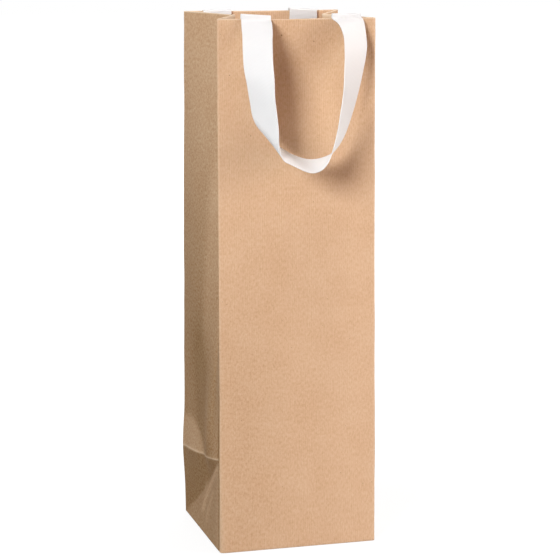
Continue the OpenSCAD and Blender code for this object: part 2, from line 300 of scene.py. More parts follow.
    # folds are rubbed pale and carry painted highlights, and painted shade deepens the tone of the gussets and the
    # front
    paleWearAndHighlight = addNode(material, "ShaderNodeAttribute", {"attribute_name": "wearAndHighlight"})
    paled = addNode(
        material, "ShaderNodeMix", {"data_type": "RGBA", 7: hexLinear(values["paleWearAndHighlight"])},
        {0: paleWearAndHighlight.outputs["Fac"], 6: specked.outputs[2]},
    )
    toned = addNode(
        material, "ShaderNodeMix", {"data_type": "RGBA", "blend_type": "MULTIPLY", 7: hexLinear(values["shadeTone"])},
        {0: paintedShade.outputs["Fac"], 6: paled.outputs[2]},
    )
    height = addNode(
        material, "ShaderNodeMath", {"operation": "MULTIPLY_ADD", 1: 1.6},
        {0: fibre.outputs[0], 2: ribLine.outputs[0]},
    )
    bump = addNode(
        material, "ShaderNodeBump", {"Strength": 1.0, "Distance": values["ribHeight"] * mm},
        {"Height": height.outputs[0]},
    )
    shader = addNode(
        material, "ShaderNodeBsdfPrincipled", {"Roughness": 0.82, "IOR": 1.5, "Specular IOR Level": 0.25},
        {"Base Color": toned.outputs[2], "Normal": bump.outputs[0]},
    )
    addNode(material, "ShaderNodeOutputMaterial", links={0: shader.outputs[0]})
    return material


wovenRibbon = {
    "colour": "#EAEAEA",
    # the colour of the weave's low places: partly uneven yarn, partly painted shade in the hollows
    "hollow": "#E5E5E4",
    "weftPitch": 0.9,  # fine cross ribs of a flat woven tape
    "warpPitch": 0.55,
    "yarnSize": 0.7,
    "ribHeight": 0.035,
    "softness": 0.6,  # how far light spreads in the cotton
}


def makeWovenRibbon(values):
    # White cotton tape in a plain weave with a heavier weft: soft, matte, with faint cross ribs
    material = newMaterial("wovenCottonTape")
    tape = addNode(material, "ShaderNodeUVMap", {"uv_map": "flatSheet"})
    split = addNode(material, "ShaderNodeSeparateXYZ", links={0: tape.outputs[0]})
    weftAngle = addNode(
        material, "ShaderNodeMath", {"operation": "MULTIPLY", 1: 2 * math.pi / (values["weftPitch"] * mm)},
        {0: split.outputs[1]},
    )
    weft = addNode(material, "ShaderNodeMath", {"operation": "SINE"}, {0: weftAngle.outputs[0]})
    warpAngle = addNode(
        material, "ShaderNodeMath", {"operation": "MULTIPLY", 1: 2 * math.pi / (values["warpPitch"] * mm)},
        {0: split.outputs[0]},
    )
    warp = addNode(material, "ShaderNodeMath", {"operation": "SINE"}, {0: warpAngle.outputs[0]})
    yarn = addNode(
        material, "ShaderNodeTexNoise", {"Scale": 1 / (values["yarnSize"] * mm), "Detail": 3.0},
        {"Vector": tape.outputs[0]},
    )
    weave = addNode(
        material, "ShaderNodeMath", {"operation": "MULTIPLY_ADD", 1: 0.35}, {0: warp.outputs[0], 2: weft.outputs[0]}
    )
    relief = addNode(
        material, "ShaderNodeMath", {"operation": "MULTIPLY_ADD", 1: 0.8}, {0: yarn.outputs[0], 2: weave.outputs[0]}
    )
    depth = addNode(material, "ShaderNodeMapRange", {1: -1.2, 2: 1.6, 3: 0.0, 4: 1.0}, {0: relief.outputs[0]})
    # where the tape's relief is low it is a shade darker: partly uneven yarn, partly painted shade in the weave's
    # hollows
    tint = addNode(
        material, "ShaderNodeMix",
        {"data_type": "RGBA", 6: hexLinear(values["hollow"]), 7: hexLinear(values["colour"])},
        {0: depth.outputs[0]},
    )
    bump = addNode(
        material, "ShaderNodeBump", {"Strength": 1.0, "Distance": values["ribHeight"] * mm},
        {"Height": relief.outputs[0]},
    )
    shader = addNode(
        material, "ShaderNodeBsdfPrincipled",
        {
            "Roughness": 0.8, "IOR": 1.5, "Specular IOR Level": 0.1,
            "Subsurface Weight": 1.0, "Subsurface Scale": values["softness"] * mm,
            "Subsurface Radius": (1.0, 1.0, 1.0),
        },
        {"Base Color": tint.outputs[2], "Normal": bump.outputs[0]},
    )
    addNode(material, "ShaderNodeOutputMaterial", links={0: shader.outputs[0]})
    return material


greyCard = {"colour": "#B9AD9C", "fleck": "#8F8474", "fibreSize": 1.3, "fibreHeight": 0.02}


def makeGreyCard(values):
    # Recycled grey board, pressed from waste paper: dull, with mixed light and dark fibres
    material = newMaterial("recycledGreyBoard")
    place = addNode(material, "ShaderNodeTexCoord")
    fibre = addNode(
        material, "ShaderNodeTexNoise", {"Scale": 1 / (values["fibreSize"] * mm), "Detail": 5.0, "Roughness": 0.7},
        {"Vector": place.outputs["Object"]},
    )
    share = addNode(material, "ShaderNodeMapRange", {1: 0.35, 2: 0.65, 3: 0.0, 4: 1.0}, {0: fibre.outputs[0]})
    tint = addNode(
        material, "ShaderNodeMix",
        {"data_type": "RGBA", 6: hexLinear(values["fleck"]), 7: hexLinear(values["colour"])}, {0: share.outputs[0]},
    )
    bump = addNode(
        material, "ShaderNodeBump", {"Strength": 1.0, "Distance": values["fibreHeight"] * mm},
        {"Height": fibre.outputs[0]},
    )
    shader = addNode(
        material, "ShaderNodeBsdfPrincipled", {"Roughness": 0.88, "IOR": 1.5, "Specular IOR Level": 0.2},
        {"Base Color": tint.outputs[2], "Normal": bump.outputs[0]},
    )
    addNode(material, "ShaderNodeOutputMaterial", links={0: shader.outputs[0]})
    return material


kraft = makeKraftPaper(kraftPaper)
ribbon = makeWovenRibbon(wovenRibbon)
card = makeGreyCard(greyCard)
print("materials made")

# The folded sheet: walls, gussets and turned-in hem in one piece of paper

bag = {
    "width": 110.0,
    "depth": 105.0,
    "height": 360.0,
    "frontLean": 3.0,  # how far the panels lean in at the rim
    "backLean": 8.5,
    "paper": 0.25,
    "card": 0.8,
    "hem": 40.0,
    "creaseMid": 57.5,  # height of the base crease at mid-depth
    "creaseSlant": 7.5,  # how much it climbs to the front corner
    "foldFoot": 10.0,  # where the gusset's fold starts, from the front corner
    "leafBow": 2.5,  # how far the gussets' back leaves bow in
    "cornerRadius": 1.1,
    "baseRadius": 3.2,  # of the front left corner at the base, where it is softest
    "hemRadius": 0.35,
    "rimBend": 0.25,
    "softFold": 4.5,  # radius of the gusset's fold above the base crease; it is sharp at the rim
    "rightRelief": 0.85,  # the right gusset is less crushed than the left
}
halfW, halfD = bag["width"] / 2, bag["depth"] / 2
rimThick = 2 * bag["paper"] + bag["card"]
creaseBack = bag["creaseMid"] - bag["creaseSlant"]
creaseFront = bag["creaseMid"] + bag["creaseSlant"]


def frontY(z):
    return -halfD + bag["frontLean"] * z / bag["height"]


def backY(z):
    return halfD - bag["backLean"] * np.maximum(0, z - creaseBack) / (bag["height"] - creaseBack)


mouthHalf = (backY(bag["height"]) - frontY(bag["height"])) / 2
mouthMid = (backY(bag["height"]) + frontY(bag["height"])) / 2
mouthInset = math.sqrt(halfD**2 - mouthHalf**2)
foldFootY = frontY(creaseFront) + bag["foldFoot"]
# parts of the section, as numbers: front, right front leaf, right back leaf, back, left back leaf, left front leaf
frontPart, backPart, gussets, leftGusset, backLeaves = 0, 3, (1, 2, 4, 5), (4, 5), (2, 4)


def creaseLine(y):
    # height of the base crease across a gusset
    return bag["creaseMid"] - bag["creaseSlant"] * y / halfD


def diagonalLine(y):
    # the block bottom's diagonal, from the front end of the crease down to the back corner
    return np.clip(creaseFront * (halfD - y) / (2 * halfD - 2.5), 0, None)


def aboveCrease(z):
    return np.clip((z - bag["creaseMid"]) / (bag["height"] - bag["creaseMid"]), 0, 1)


def skew(z):
    # rows tilt with the slanted crease near it, and are level at the base and higher up
    up = smooth(z / bag["creaseMid"]) if z < bag["creaseMid"] else 1 - smooth((z - bag["creaseMid"]) / 110)
    return bag["creaseSlant"] * float(up)


def rowCorners(z, inset):
    # corners of the bag's section, from the front left one round by the right; inset is (panels, leaves)
    tilt, v = skew(z), aboveCrease(z)
    yA, yD = frontY(z + tilt), float(backY(z - tilt))
    yF, dip = mix(foldFootY, mouthMid, v), mouthInset * v
    right = [(halfW, yA), (halfW - dip, yF), (halfW, yD)]
    corners = np.array([(-halfW, yA), *right, (-halfW, yD), (-halfW + dip, yF)])
    offsets = [inset[0], inset[1], inset[1], inset[0], inset[1], inset[1]]
    moved = []
    for i in range(6):
        before, here, after = corners[i - 1], corners[i], corners[(i + 1) % 6]
        d1, d2 = here - before, after - here
        n1 = np.array([-d1[1], d1[0]]) / np.linalg.norm(d1)
        n2 = np.array([-d2[1], d2[0]]) / np.linalg.norm(d2)
        e1, e2 = offsets[i - 1], offsets[i]
        det = n1[0] * n2[1] - n1[1] * n2[0]
        if abs(det) < 0.05:
            moved.append(here + n1 * e1)
            continue
        a, b = n1 @ here + e1, n2 @ here + e2
        moved.append(np.array([(a * n2[1] - b * n1[1]) / det, (n1[0] * b - n2[0] * a) / det]))
    return np.array(moved)


cornerSteps = [5, 5, 6, 5, 5, 6]
edgeSteps = [80, 20, 50, 60, 84, 26]  # of each part of the section
sectionEdges = []  # for each column: the edge it lies on, and its share of that edge
for corner, (turns, steps) in enumerate(zip(cornerSteps, edgeSteps)):
    sectionEdges += [(corner, None, k / turns) for k in range(turns + 1)]
    sectionEdges += [(corner, k / steps, None) for k in range(1, steps)]


def rowSection(z, inset, radius):
    corners = rowCorners(z, inset)
    softFold = mix(bag["softFold"], bag["hemRadius"], smooth(aboveCrease(z) * 1.6))
    ends = []
    for i in range(6):
        before, here, after = corners[i - 1], corners[i], corners[(i + 1) % 6]
        la, lb = np.linalg.norm(here - before), np.linalg.norm(after - here)
        cut = softFold if i in (2, 5) else radius if i == 0 else min(radius, bag["cornerRadius"])
        cut = min(cut, 0.4 * la, 0.4 * lb)
        ends.append((here - (here - before) / la * cut, here + (after - here) / lb * cut))
    points = []
    for corner, share, turn in sectionEdges:
        if share is None:
            start, end, middle = ends[corner][0], ends[corner][1], corners[corner]
            points.append((1 - turn) ** 2 * start + 2 * turn * (1 - turn) * middle + turn**2 * end)
        else:
            points.append(mix(ends[corner][1], ends[(corner + 1) % 6][0], share))
    return np.array(points)


def softArc(y):
    # upper edge of the bulge that stands over the base crease of a gusset
    return 60.5 + 14.5 * np.sin(np.clip((y + 14.0) / 51.0, 0, 1) * math.pi / 2) - 3.0 * smooth((y - 38) / 15)


# wrinkles of the crushed lower field: places as (y, z) along each one, then height and half width
wrinkles = [
    ([(-46, 60), (-36, 53), (-16, 39), (-1, 24), (7, 10)], 0.55, 1.9),
    ([(-30, 40), (-21, 30), (-12, 18), (-8, 6)], 0.35, 1.7),
    ([(-8, 44), (-2, 36), (4, 27)], 0.30, 1.6),
]


def wrinkleRelief(y, z, spread=1.0):
    out = np.zeros(z.shape)
    for places, height, half in wrinkles:
        path = np.array(places, float)[::-1]
        centre = np.interp(z, path[:, 1], path[:, 0])
        slope = (path[-1, 0] - path[0, 0]) / (path[-1, 1] - path[0, 1])
        fade = smooth((z - path[0, 1]) / 6) * smooth((path[-1, 1] - z) / 6)
        out += height * fade * bell((y - centre) / math.hypot(1, slope) / (half * spread))
    return out


def gussetRelief(y, z):
    # how far the gusset's paper stands out (+) or in (-), around the block bottom's creases
    crease, diagonal = creaseLine(y), diagonalLine(y)
    across = np.clip((y + halfD) / (2 * halfD), 0, 1)
    edgeFade = smooth(across / 0.10) * smooth((1 - across) / 0.06)
    puffAcross = 3.6 * bell((y + 27) / 15)
    puff = puffAcross * bell((z - 84) / 52)
    hollow = -1.5 * bell((y - 20) / 20) * bell((z - 95) / 45)
    upper = (puff + hollow) * smooth(across / 0.10) * smooth((1 - across) / 0.15)
    atCrease = puffAcross * bell((crease - 84) / 52) * smooth(across / 0.10)
    lift = 2.9 * smooth((y + 14) / 22) * mix(1.0, 0.55, smooth((y - 20) / 32))
    arc = np.maximum(softArc(y), crease + 0.5)
    above = upper + lift * np.clip(1 - (z - crease) / (arc - crease), 0, 1)
    ridge = atCrease + lift
    valley = -3.4 * np.sin(math.pi * across) ** 1.3
    t = np.clip((z - diagonal) / np.maximum(crease - diagonal, 0.5), 0, 1)
    between = mix(valley, ridge, t)
    below = valley * np.clip(z / np.maximum(diagonal, 0.5), 0, 1)
    out = np.where(z >= crease, above, np.where(z >= diagonal, between, below))
    backEdge = 1.5 * smooth((across - 0.9) / 0.1) * bell((z - crease) / 22)
    return (out + wrinkleRelief(y, z)) * edgeFade + backEdge


def paperRelief(x, y, z, part):
    # how far the wall's points move out along their normals
    gusset, left = np.isin(part, gussets), np.isin(part, leftGusset)
    wave = noiseField(x, y, z, 46.0, 3) * 0.26 + noiseField(x, y, z, 15.0, 5) * 0.07
    out = wave * (smooth(z / 8) * smooth((bag["height"] - z) / 14))
    out += np.where(gusset, gussetRelief(y, z) * np.where(left, 1.0, bag["rightRelief"]), 0)
    v = aboveCrease(z)
    s = np.clip((backY(z) - y) / np.maximum(backY(z) - mix(foldFootY, mouthMid, v), 1), 0, 1)
    bow = bag["leafBow"] * np.sin(math.pi * v) * 4 * s * (1 - s)
    out += np.where(np.isin(part, backLeaves), bow, 0)
    # the back panel has the block bottom's crease straight across it
    backCrease = -0.9 * np.exp(-np.abs(z - creaseBack) / 5.0) * smooth((halfW - np.abs(x)) / 12)
    out += np.where(part == backPart, backCrease, 0)
    # the lower front corner is pinched to a sharp edge with a shallow groove behind it
    behind = y - frontY(z)
    pinch = 0.5 * np.exp(-behind / 1.2) - 0.35 * bell((behind - 4.5) / 2.2)
    out += np.where(left & (behind < 12), pinch * (1 - smooth((z - 60) / 30)), 0)
    return out


def sheetRows():
    # rows of the sheet: height, inset of panels, inset of leaves, corner radius, run of paper from the base
    rim, crease, bend, leafThick = bag["height"], bag["creaseMid"], bag["rimBend"], 2 * bag["paper"] + 0.3
    baseTurn = ((1.2, 0.0), (0.5, 0.0), (0.2, 0.06), (0.06, 0.2), (0.0, 0.5))
    rows = [(z, inset, inset, bag["baseRadius"], z) for inset, z in baseTurn]
    wall = np.concatenate([
        np.arange(2.0, crease - 0.6, 1.5), crease + np.array([-0.5, 0.0, 0.5, 1.6, 3.0, 4.5]),
        np.arange(crease + 6.2, 130, 2.0), np.arange(130, 318, 3.5), np.arange(319.5, 356, 3.0),
        [357.5, 359.0, 359.5],
    ])
    for z in wall:
        rows.append((z, 0, 0, mix(bag["baseRadius"], bag["cornerRadius"], smooth(z / 40)), z))
    wallRows = len(rows)
    for step, lift in ((0.0, -bend), (0.07, -0.07), (bend, 0.0)):
        rows.append((rim + lift, step, min(step, leafThick / 2), bag["cornerRadius"], rim + step))
    rows.append((rim, rimThick / 2, leafThick / 2, 0.5, rim + rimThick / 2))
    for step, lift in ((bend, 0.0), (0.07, -0.07), (0.0, -bend)):
        leafInset = leafThick - min(step, leafThick / 2)
        rows.append((rim + lift, rimThick - step, leafInset, bag["hemRadius"], rim + rimThick - step))
    for z in (359.0, 357.0, 354.0, 350.0, 345.0, 340.0, 335.0, 330.0, 325.0, 322.0, rim - bag["hem"]):
        rows.append((z, rimThick, leafThick, bag["hemRadius"], rim + rimThick + rim - z))
    return rows, wallRows


def sheetPoints(rows, part):
    points = np.zeros((len(rows), len(part), 3))
    for i, (z, panelInset, leafInset, radius, run) in enumerate(rows):
        section = rowSection(z, (panelInset, leafInset), radius)
        points[i, :, :2] = section
        points[i, :, 2] = z - skew(z) * np.clip(section[:, 1] / halfD, -1, 1) if z > 1 else z
    # outward direction of each column in its own row
    along = np.roll(points[..., :2], -1, 1) - np.roll(points[..., :2], 1, 1)
    normals = np.stack([along[..., 1], -along[..., 0]], -1)
    normals /= np.linalg.norm(normals, axis=-1, keepdims=True)
    x, y, z = points[..., 0], points[..., 1], points[..., 2]  # views, which follow the points as they move
    points[..., :2] += normals * paperRelief(x, y, z, part)[..., None]
    # the front rim sags slightly beside the left ribbon, and the rim stands slightly higher at the left
    sag = bell((x + 17) / 17) * smooth((z - 335) / 25) * (part == frontPart)
    z -= 0.35 * sag
    z += 0.65 * smooth(-x / 50) * smooth((z - 200) / 150)
    # towards the rim the right side turns a little, and the left side's back edge bows out
    share = np.clip((y + halfD) / (2 * halfD), 0, 1)
    turned = mix(-1.3, 1.6, share) * smooth(z / bag["height"]) * np.clip(x / halfW, 0, 1)
    bowed = -0.6 * share * smooth(z / 120) * np.clip(-x / halfW, 0, 1)
    x += turned + bowed
    return points


def sheetFlat(points, rows):
    # flat place of each point on the sheet: run round the bag, run up the sheet
    count, columns = points.shape[:2]
    flat = np.zeros((count, columns + 1, 2))
    steps = np.linalg.norm(np.roll(points[..., :2], -1, 1) - points[..., :2], axis=-1)
    runs = np.concatenate([np.zeros((count, 1)), np.cumsum(steps, 1)], 1)
    starts = [i for i, (edge, share, turn) in enumerate(sectionEdges) if share is None and turn == 0.0]
    marks = [starts[0], starts[1], starts[3], starts[4], columns]
    base = 0.0
    for a, b, length in zip(marks, marks[1:], [bag["width"], bag["depth"]] * 2):
        span = (runs[:, b] - runs[:, a])[:, None]
        flat[:, a : b + 1, 0] = base + (runs[:, a : b + 1] - runs[:, a : a + 1]) / span * length
        base += length
    flat[..., 1] = np.array([row[4] for row in rows])[:, None]
    return flat


def foldWearAndHighlight(points, part, wallRows):
    # how pale each fold is: rubbed pale, with a painted highlight along the gussets' base crease and the rims
    y, z = points[..., 1], points[..., 2]
    gusset, row = np.isin(part, gussets), np.arange(len(points))[:, None]
    onWall = row < wallRows
    # the gussets' base crease is rubbed pale and also carries a painted highlight
    baseFold = mix(0.5, 0.7, smooth((y - 20) / 30)) * np.exp(-np.abs(z - creaseLine(y)) / 0.45)
    wearAndHighlight = np.where(gusset & onWall, baseFold, 0)
    wearAndHighlight += np.where((part == backPart) & onWall, 0.45 * np.exp(-np.abs(z - creaseBack) / 0.5), 0)
    uprights = np.array([float(share is None and edge in (0, 1, 3, 4)) for edge, share, turn in sectionEdges])
    wearAndHighlight += 0.12 * uprights * onWall
    # the rims are rubbed pale and also carry a painted highlight where light catches their tops
    wearAndHighlight += np.where((row >= wallRows - 1) & (z > 359.4), 0.55, 0)
    wearAndHighlight += np.where(gusset & ~onWall & (z > 358.8), 0.6, 0)
    return np.clip(wearAndHighlight, 0, 1)


def paintedShadeTone(points, part, wallRows):
    # how far painted shade deepens the paper, from 0 to 1
    x, y, z = points[..., 0], points[..., 1], points[..., 2]
    crease, diagonal, behind = creaseLine(y), diagonalLine(y), y - frontY(z)
    gusset, onWall = np.isin(part, gussets), (np.arange(len(points)) < wallRows)[:, None]
    # painted shade: the gussets are darker towards the foot, and lighter beside the front corner
    shadeTone = 0.37 + 0.45 * smooth((345 - z) / 215) - 0.10 * smooth((-34 - y) / 10) * smooth((200 - z) / 60)
    shadeTone -= 0.18 * smooth((10 - y) / 14) * smooth((290 - z) / 60) * smooth((z - 110) / 40)
    # painted shade is darkest in the hollow above the bulge at the crease, and a painted highlight makes the bulge
    # pale
    hollowY = np.interp(z, [56, 75, 100, 140, 180], [-25, 0, 6, 10, 8])
    hollowed = 0.26 * bell((y - hollowY) / 20) * smooth(z - crease) * smooth((175 - z) / 60)
    facet = 0.26 * smooth((softArc(y) - z) / 5 + 0.5) * smooth((z - crease) / 0.8) * smooth((y + 16) / 6)
    # painted shade darkens the field over the diagonal below the crease, and painted highlights run along the
    # wrinkles of the one under it
    dark = smooth((crease - z) / 0.8) * smooth((z - diagonal) / 3.0 + 0.5)
    below = 0.20 * dark - 0.08 * smooth((diagonal - z) / 4) - 0.5 * wrinkleRelief(y, z, 1.6)
    below = below * smooth((crease - z) / 0.8)
    # a thin painted shadow line follows the front corner
    lineStrength = mix(1.0, 0.6, smooth((z - 150) / 120)) + 0.5 * smooth((z - 345) / 10)
    line = 0.85 * bell((behind - 3.2) / 2.2) * lineStrength
    # the base crease is kept pale by a painted highlight
    folded = 0.55 * np.exp(-np.abs(z - crease - 0.1) / 0.5)
    outer = (shadeTone + hollowed - facet + below + line - folded) * smooth((backY(z) - y) / 1.2)
    # painted shade on the gussets' rim and hem, deepest inside the left gusset just below the rim
    inner = gusset * (0.08 + 0.42 * smooth((358.7 - z) / 1.5) * (x < 0))
    tone = np.where(gusset & onWall, outer, inner)
    # the right gusset gets less painted shade, and none along its shared corner with the front
    tone = np.where(gusset & (x > 0), 0.65 * tone * smooth((behind - 1.2) / 2.5), tone)
    # painted shade on the front: deeper towards its lower left and just below the rim, and lightest at its lower
    # right
    front = 0.08 + 0.15 * smooth((15 - x) / 60) * smooth((250 - z) / 150)
    front = front - 0.08 * smooth((x - 10) / 40) * smooth((300 - z) / 60) + 0.06 * smooth((z - 290) / 50)
    return np.where(part == frontPart, front, np.clip(tone, 0, 1))


def makePaperSheet():
    rows, wallRows = sheetRows()
    part = np.array([edge for edge, share, turn in sectionEdges])
    points = sheetPoints(rows, part)
    tones = {"wearAndHighlight": foldWearAndHighlight(points, part, wallRows), "paintedShade": paintedShadeTone(points, part, wallRows)}
    obj = gridMesh("paperSheet", points, sheetFlat(points, rows), True, tones)
    thicken(obj, bag["paper"], -1)
    obj.data.materials.append(kraft)
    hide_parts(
        "front_panel", "back_panel", "left_gusset_front_leaf", "left_gusset_back_leaf", "left_gusset_foot",
        "right_gusset_front_leaf", "right_gusset_back_leaf", "right_gusset_foot", "front_hem", "back_hem",
        "left_gusset_front_hem", "left_gusset_back_hem", "right_gusset_front_hem", "right_gusset_back_hem",
    )
    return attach(obj, "bag")


paperSheet = makePaperSheet()
print("paper sheet folded", len(paperSheet.data.vertices))

# Block bottom: four glued flaps and the loose board

bottom = {
    "overlap": 22.0,
    "sideFlap": 38.0,
    "mitre": 5.0,
    "edgeGap": 1.25,  # from the flaps' edges to the walls' faces
    "board": 1.5,
    "boardGap": 0.5,  # from the loose board to the walls
    "boardRadius": 2.0,
    "boardBevel": 0.2,
}


def flatSheetPiece(name, outline, level, thickness, material, nodes, uvTurn=False):
    # a flat piece with rows between two edges; outline gives x at both ends for each row's y
    columns = max(3, max(int((x1 - x0) / 4.0) for y, x0, x1 in outline))  # about one for each 4 mm
    points = np.zeros((len(outline), columns, 3))
    for i, (y, x0, x1) in enumerate(outline):
        points[i, :, 0] = np.linspace(x0, x1, columns)
        points[i, :, 1] = y
        points[i, :, 2] = level(y)
    uv = points[..., :2] + 200
    if uvTurn:
        uv = uv[..., ::-1]
    obj = gridMesh(name, points, uv)
    thicken(obj, thickness, 1)
    obj.data.materials.append(material)
    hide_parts(*nodes)
    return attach(obj, "bag")


def makeBottom(values):
    inX, inY, g = halfW - values["edgeGap"], halfD - values["edgeGap"], values["mitre"]
    lap, t = values["overlap"] / 2, bag["paper"]
    ys = np.linspace(-inY, lap, 26)
    outline = [(y, -inX + g * (y + inY) / (lap + inY), inX - g * (y + inY) / (lap + inY)) for y in ys]
    flatSheetPiece(
        "frontBottomFlap", outline, lambda y: 0.01, t - 0.02, kraft, ["front_bottom_flap"]
    )
    # the back flap lies on the front one in the lap, and steps down to the table behind it
    ys = np.concatenate([
        np.linspace(-lap, lap - 0.4, 8), np.linspace(lap, lap + 3, 7), np.linspace(lap + 5, inY, 12)
    ])
    outline = [(y, -inX + g * (inY - y) / (lap + inY), inX - g * (inY - y) / (lap + inY)) for y in ys]
    flatSheetPiece(
        "backBottomFlap", outline, lambda y: 0.01 + t * (1 - smooth((y - lap - 0.2) / 2.5)), t - 0.02,
        kraft, ["back_bottom_flap"],
    )
    reach = halfW - bag["paper"] - 0.05
    sides = (("leftBottomFlap", "left_bottom_flap", -1), ("rightBottomFlap", "right_bottom_flap", 1))
    for name, node, sign in sides:
        outline = []
        for y in np.linspace(-halfD + 0.35, halfD - 0.35, 30):
            short = values["mitre"] * smooth(1 - (halfD - abs(y)) / 9)
            outline.append((y, *sorted((sign * reach, sign * (reach - values["sideFlap"] + short)))))
        flatSheetPiece(
            name, outline, lambda y: 2 * t + 0.01, t - 0.02, kraft, [node], uvTurn=True
        )


makeBottom(bottom)


def roundedBoard(name, low, high, radius, bevel):
    # a cut board with rounded corners and slightly crushed edges
    ring = []
    for sideX, sideY, start in ((1, 1, 0), (-1, 1, 90), (-1, -1, 180), (1, -1, 270)):
        middleX = high[0] - radius if sideX > 0 else low[0] + radius
        middleY = high[1] - radius if sideY > 0 else low[1] + radius
        for k in range(7):
            a = math.radians(start + 15 * k)
            ring.append((middleX + radius * math.cos(a), middleY + radius * math.sin(a)))
    form = bmesh.new()
    loops = []
    for z, cut in ((low[2], bevel), (low[2] + bevel, 0.0), (high[2] - bevel, 0.0), (high[2], bevel)):
        # the board is centred on the bag, so each side moves in towards x or y = 0
        places = [(x - math.copysign(cut, x), y - math.copysign(cut, y), z) for x, y in ring]
        loops.append([form.verts.new((x * mm, y * mm, z * mm)) for x, y, z in places])
    for a, b in zip(loops, loops[1:]):
        for k in range(len(ring)):
            n = (k + 1) % len(ring)
            form.faces.new((a[k], a[n], b[n], b[k]))
    form.faces.new(list(reversed(loops[0])))
    form.faces.new(loops[-1])
    mesh = bpy.data.meshes.new(name)
    form.to_mesh(mesh)
    form.free()
    obj = addObject(name, mesh)
    obj.data.materials.append(card)
    return obj


boardX, boardY = halfW - bag["paper"] - bottom["boardGap"], halfD - bag["paper"] - bottom["boardGap"]
boardLow = 3 * bag["paper"] + 0.02
baseBoard = roundedBoard(
    "baseBoard", (-boardX, -boardY, boardLow), (boardX, boardY, boardLow + bottom["board"]),
    bottom["boardRadius"], bottom["boardBevel"],
)
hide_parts("base_board")
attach(baseBoard, "bag")
print("block bottom and board made")

# Ribbon handles: each is one tape, glued inside, over the rim and hanging outside

handle = {
    "width": 22.0,
    "thickness": 0.5,
    "armSpacing": 62.0,
    "drop": 96.0,
    "tail": 44.0,  # of the glued end inside
    "crestRise": 2.9,  # how high the tape stands over the rim
    "rearCrestRise": 1.1,
    "rearBow": 1.5,  # how far the rear tape stands off the wall before it bends over the rim
    "footRow": 181,  # the row of the mesh at the fold by the loop's foot
    "pinch": 0.095,  # the tape is gathered a little where it goes over the rim
    "gatherDrop": 65.0,  # how far below the rim it is at its full width
    "gap": 0.6,  # between the tape's arms and the wall
    "leastSlant": 0.85,  # limits how much a slanting fold widens the tape
    "cup": 0.35,  # the tape is never quite flat across
    "ripple": 0.10,  # and waves a little along its edges
    "frontShift": 2.4,
    "rearShift": -1.0,
}
# hanging shape, as shares: across of half the arm spacing, out of the tape's width, drop of the handle's drop
loopShares = [
    (-1.00, 0.00, 0.00), (-1.02, 0.17, 0.03), (-1.05, 0.39, 0.085), (-1.08, 0.57, 0.15), (-1.11, 0.76, 0.22),
    (-1.13, 0.95, 0.31), (-1.12, 1.08, 0.40), (-1.09, 1.09, 0.50), (-1.05, 1.09, 0.585), (-1.02, 1.09, 0.665),
    (-1.00, 1.10, 0.735), (-0.93, 1.10, 0.80), (-0.81, 1.09, 0.85), (-0.67, 1.07, 0.88), (-0.53, 1.06, 0.915),
    (-0.24, 1.13, 0.965), (-0.04, 1.17, 0.98), (0.15, 1.17, 0.97), (0.30, 1.16, 0.945), (0.42, 1.13, 0.91),
    (0.56, 1.12, 0.83), (0.67, 1.10, 0.73), (0.78, 1.08, 0.59), (0.87, 1.06, 0.46), (0.95, 0.92, 0.34),
    (1.02, 0.77, 0.24), (1.06, 0.60, 0.165), (1.07, 0.41, 0.09), (1.05, 0.20, 0.03), (1.00, 0.00, 0.00),
]
# twist of the tape away from the panel and dip of its outer edge, in degrees
loopAngles = [
    (0, 0), (14, 0), (30, 2), (39, 5), (43, 7), (46, 8), (49, 8), (53, 10), (55, 17), (55, 27),
    (55, 35), (57, 39), (66, 37), (76, 30), (84, 22), (92, 17.5), (99, 16), (104, 12.5), (108, 8), (112, 3),
    (120, 4), (125, 1), (130, 1), (134.5, 2), (141, 3), (145, 3), (148, 4), (151, 4), (163, 3), (180, 0),
]


def tapePath(values, lean, tilt, rise, bow, steps=10):
    # centre line, twist and dip, from the glued end inside, over the rim, round the loop and back
    half, w = values["armSpacing"] / 2, values["width"]
    outerGap = values["gap"] + values["thickness"] / 2
    stations = []
    for (across, out, drop), (twist, dip) in zip(loopShares, loopAngles):
        down = drop * values["drop"]
        stations.append(np.array([across * half, -(outerGap + out * w + lean * down), -down, twist, dip], float))
    first = 2 * stations[0] - stations[1] - np.array([0, w * loopShares[1][1], 0, 0, 0])
    last = 2 * stations[-1] - stations[-2] - np.array([0, w * loopShares[-2][1], 0, 0, 0])
    full = [first] + stations + [last]
    hanging = []
    for a, b, c, d in zip(full, full[1:], full[2:], full[3:]):
        for t in np.arange(steps) / steps:
            bend = (2 * a - 5 * b + 4 * c - d) * t**2 + (3 * b - a - 3 * c + d) * t**3
            hanging.append(0.5 * (2 * b + (c - a) * t + bend))
    hanging.append(stations[-1])
    for k in range(steps):
        hanging[k] = hanging[k] + np.array([0, 0, 0, 0, tilt * (1 - k / steps)])
    inner = rimThick + values["thickness"] / 2
    turn, hinge = (inner + bow + outerGap) / 2, (inner + bow - outerGap) / 2
    high = min(turn, 0.75 * rise)
    crest = [(hinge - turn * math.cos(a), rise - high + high * math.sin(a)) for a in np.linspace(math.pi, 0, 13)]
    tail = [(inner + bow * float(smooth((14 - d) / 12)) - lean * d, -d) for d in np.linspace(values["tail"], 0, 23)]
    left = [np.array([-half, y, z, 0, tilt]) for y, z in tail + crest]
    right = [np.array([half, y, z, 180, 0]) for y, z in tail + crest]
    return np.array(left + hanging + right[::-1])


